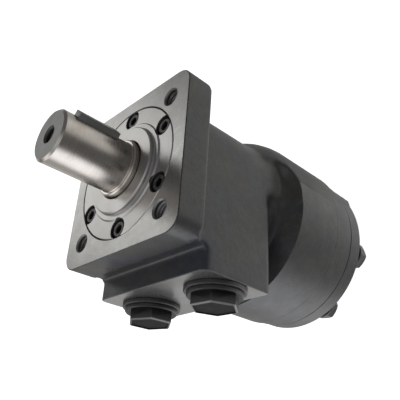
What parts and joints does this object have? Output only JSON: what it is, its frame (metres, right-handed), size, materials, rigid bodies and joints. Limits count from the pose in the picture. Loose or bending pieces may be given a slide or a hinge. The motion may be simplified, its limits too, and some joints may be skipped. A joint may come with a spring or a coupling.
{
  "type": "orbital hydraulic motor",
  "caption": "Orbital hydraulic motor with a square flange, keyed output shaft, side ports closed by hex plugs, and a roller gear set that drives the shaft through a splined bar.",
  "frame": {"origin": "centre of the pilot in the plane of the flange's mounting face", "axes": "+Z out along the output shaft, -Y out of the two ports, +X to the left of the ports when they point down and the shaft points at the viewer"},
  "size_m": [0.094, 0.1077, 0.1807],
  "materials": {
    "cast_paint": "satin black paint over cast iron",
    "machined_iron": "bare, fine turned",
    "machined_steel": "ground",
    "bearing_steel": "polished",
    "key_steel": "dark drawn steel",
    "black_oxide": "black oxide",
    "seal_rubber": "matt"
  },
  "bodies": {
    "housing": {"housing": "cast_paint", "front_cover": "machined_iron", "cover_screw_1": "black_oxide", "cover_screw_2": "black_oxide", "cover_screw_3": "black_oxide", "cover_screw_4": "black_oxide", "cover_screw_5": "black_oxide", "cover_screw_6": "black_oxide", "dust_seal": "seal_rubber", "shaft_seal": "seal_rubber", "thrust_washer": "bearing_steel", "channel_plate": "cast_paint", "roller_ring": "cast_paint", "end_cover": "cast_paint", "section_seal_1": "seal_rubber", "section_seal_2": "seal_rubber", "section_seal_3": "seal_rubber", "end_washer_1": "black_oxide", "end_washer_2": "black_oxide", "end_washer_3": "black_oxide", "end_washer_4": "black_oxide", "end_washer_5": "black_oxide", "end_washer_6": "black_oxide", "end_washer_7": "black_oxide", "end_bolt_1": "black_oxide", "end_bolt_2": "black_oxide", "end_bolt_3": "black_oxide", "end_bolt_4": "black_oxide", "end_bolt_5": "black_oxide", "end_bolt_6": "black_oxide", "end_bolt_7": "black_oxide", "plug_washer_a": "black_oxide", "plug_washer_b": "black_oxide", "port_plug_a": "black_oxide", "port_plug_b": "black_oxide"},
    "output_shaft": {"output_shaft": "machined_steel", "shaft_key": "key_steel"},
    "bearing_cage": {"needle_cage": "bearing_steel"},
    "orbiting_spacer": {"drive_spacer": "machined_steel"},
    "rotor": {"rotor": "machined_steel"},
    "cardan": {"cardan_shaft": "machined_steel"},
    "roller_1_body": {"roller_1": "bearing_steel"},
    "roller_2_body": {"roller_2": "bearing_steel"},
    "roller_3_body": {"roller_3": "bearing_steel"},
    "roller_4_body": {"roller_4": "bearing_steel"},
    "roller_5_body": {"roller_5": "bearing_steel"},
    "roller_6_body": {"roller_6": "bearing_steel"},
    "roller_7_body": {"roller_7": "bearing_steel"},
    "check_ball_1_body": {"check_ball_1": "bearing_steel"},
    "check_ball_2_body": {"check_ball_2": "bearing_steel"}
  },
  "joints": [
    {"name": "shaft_spin", "type": "hinge", "parent": "housing", "child": "output_shaft", "pos_m": [0, 0, 0], "axis": [0, 0, 1], "continuous": true},
    {"name": "cage_spin", "type": "hinge", "parent": "housing", "child": "bearing_cage", "pos_m": [0, 0, -0.0146], "axis": [0, 0, 1], "continuous": true},
    {"name": "rotor_orbit", "type": "hinge", "parent": "housing", "child": "orbiting_spacer", "pos_m": [0, 0, -0.117], "axis": [0, 0, 1], "continuous": true},
    {"name": "rotor_spin", "type": "hinge", "parent": "orbiting_spacer", "child": "rotor", "pos_m": [0, 0.0024, -0.117], "axis": [0, 0, 1], "continuous": true},
    {"name": "drive_spin", "type": "hinge", "parent": "orbiting_spacer", "child": "cardan", "pos_m": [0, 0, -0.057], "axis": [0, -0.04, 0.9992], "continuous": true},
    {"name": "roller_1_spin", "type": "hinge", "parent": "housing", "child": "roller_1_body", "pos_m": [-0.01063, 0.02207, -0.117], "axis": [0, 0, 1], "continuous": true},
    {"name": "roller_2_spin", "type": "hinge", "parent": "housing", "child": "roller_2_body", "pos_m": [-0.02389, 0.00545, -0.117], "axis": [0, 0, 1], "continuous": true},
    {"name": "roller_3_spin", "type": "hinge", "parent": "housing", "child": "roller_3_body", "pos_m": [-0.01915, -0.01528, -0.117], "axis": [0, 0, 1], "continuous": true},
    {"name": "roller_4_spin", "type": "hinge", "parent": "housing", "child": "roller_4_body", "pos_m": [0, -0.0245, -0.117], "axis": [0, 0, 1], "continuous": true},
    {"name": "roller_5_spin", "type": "hinge", "parent": "housing", "child": "roller_5_body", "pos_m": [0.01915, -0.01528, -0.117], "axis": [0, 0, 1], "continuous": true},
    {"name": "roller_6_spin", "type": "hinge", "parent": "housing", "child": "roller_6_body", "pos_m": [0.02389, 0.00545, -0.117], "axis": [0, 0, 1], "continuous": true},
    {"name": "roller_7_spin", "type": "hinge", "parent": "housing", "child": "roller_7_body", "pos_m": [0.01063, 0.02207, -0.117], "axis": [0, 0, 1], "continuous": true},
    {"name": "check_ball_1_lift", "type": "slide", "parent": "housing", "child": "check_ball_1_body", "axis": [0, 0, -1], "range_m": [0, 0.0012]},
    {"name": "check_ball_2_lift", "type": "slide", "parent": "housing", "child": "check_ball_2_body", "axis": [0, 0, -1], "range_m": [0, 0.0012]}
  ],
  "couplings": [
    {"joint": "cage_spin", "follows": "shaft_spin", "ratio": 0.5},
    {"joint": "rotor_orbit", "follows": "shaft_spin", "ratio": -6},
    {"joint": "rotor_spin", "follows": "shaft_spin", "ratio": 7},
    {"joint": "drive_spin", "follows": "shaft_spin", "ratio": 7},
    {"joint": "roller_1_spin", "follows": "shaft_spin", "ratio": -4.5},
    {"joint": "roller_2_spin", "follows": "shaft_spin", "ratio": -4.5},
    {"joint": "roller_3_spin", "follows": "shaft_spin", "ratio": -4.5},
    {"joint": "roller_4_spin", "follows": "shaft_spin", "ratio": -4.5},
    {"joint": "roller_5_spin", "follows": "shaft_spin", "ratio": -4.5},
    {"joint": "roller_6_spin", "follows": "shaft_spin", "ratio": -4.5},
    {"joint": "roller_7_spin", "follows": "shaft_spin", "ratio": -4.5}
  ]
}
